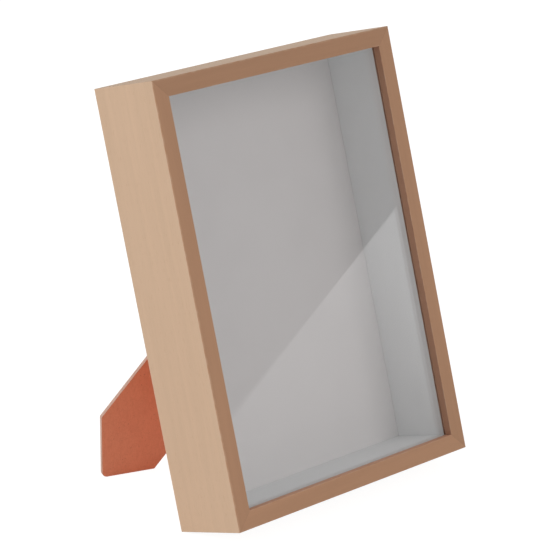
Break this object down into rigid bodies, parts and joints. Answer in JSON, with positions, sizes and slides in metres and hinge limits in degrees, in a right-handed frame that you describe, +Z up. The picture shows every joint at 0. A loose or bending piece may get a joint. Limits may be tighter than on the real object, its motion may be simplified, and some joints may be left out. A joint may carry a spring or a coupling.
{
  "type": "shadow box frame",
  "caption": "Deep wooden shadow box picture frame with glazed front, white lined interior, turn-button back and a folding two-way easel strut.",
  "frame": {"origin": "middle of the footprint on the surface that the frame stands on, with the strut open", "axes": "+X to the right as seen from the front, +Y to the back, where the strut stands, +Z up; the box leans back 15.27 degrees about X"},
  "size_m": [0.146, 0.111, 0.1998],
  "materials": {
    "pale_wood": "clear satin lacquer on fine-grained light hardwood",
    "brown_hardboard": "matte orange-brown hardboard, paler on its cut edges",
    "white_board": "matte white paper-faced board",
    "clear_glass": "clear polished",
    "zinc_steel": "bright zinc plated"
  },
  "bodies": {
    "frame_box": {"rail_bottom": "pale_wood", "rail_left": "pale_wood", "rail_top": "pale_wood", "rail_right": "pale_wood", "corner_nail_bottom_left": "zinc_steel", "corner_nail_top_left": "zinc_steel", "corner_nail_top_right": "zinc_steel", "corner_nail_bottom_right": "zinc_steel", "glass_pane": "clear_glass", "spacer_bottom": "white_board", "spacer_left": "white_board", "spacer_top": "white_board", "spacer_right": "white_board", "backing_card": "white_board", "back_panel": "brown_hardboard", "button_screw_bottom_left": "zinc_steel", "button_screw_top_left": "zinc_steel", "button_screw_top_right": "zinc_steel", "button_screw_bottom_right": "zinc_steel", "hinge_panel_leaf": "zinc_steel", "hinge_pin": "zinc_steel", "panel_rivet_left": "zinc_steel", "panel_rivet_right": "zinc_steel"},
    "strut": {"easel_strut": "brown_hardboard", "hinge_strut_leaf": "zinc_steel", "strut_rivet_left": "zinc_steel", "strut_rivet_right": "zinc_steel"},
    "button_bottom_left": {"turn_button_bottom_left": "zinc_steel"},
    "button_top_left": {"turn_button_top_left": "zinc_steel"},
    "button_top_right": {"turn_button_top_right": "zinc_steel"},
    "button_bottom_right": {"turn_button_bottom_right": "zinc_steel"}
  },
  "joints": [
    {"name": "strut_fold", "type": "hinge", "parent": "frame_box", "child": "strut", "pos_m": [0.022, 0.01184, 0.10573], "axis": [0.766, -0.1693, -0.6201], "range_deg": [-30.6, 0]},
    {"name": "button_bottom_left_turn", "type": "hinge", "parent": "frame_box", "child": "button_bottom_left", "pos_m": [-0.024, -0.01758, 0.00212], "axis": [0, 0.9647, -0.2634], "continuous": true},
    {"name": "button_top_left_turn", "type": "hinge", "parent": "frame_box", "child": "button_top_left", "pos_m": [-0.024, 0.03298, 0.18734], "axis": [0, 0.9647, -0.2634], "continuous": true},
    {"name": "button_top_right_turn", "type": "hinge", "parent": "frame_box", "child": "button_top_right", "pos_m": [0.024, 0.03298, 0.18734], "axis": [0, 0.9647, -0.2634], "continuous": true},
    {"name": "button_bottom_right_turn", "type": "hinge", "parent": "frame_box", "child": "button_bottom_right", "pos_m": [0.024, -0.01758, 0.00212], "axis": [0, 0.9647, -0.2634], "continuous": true}
  ]
}
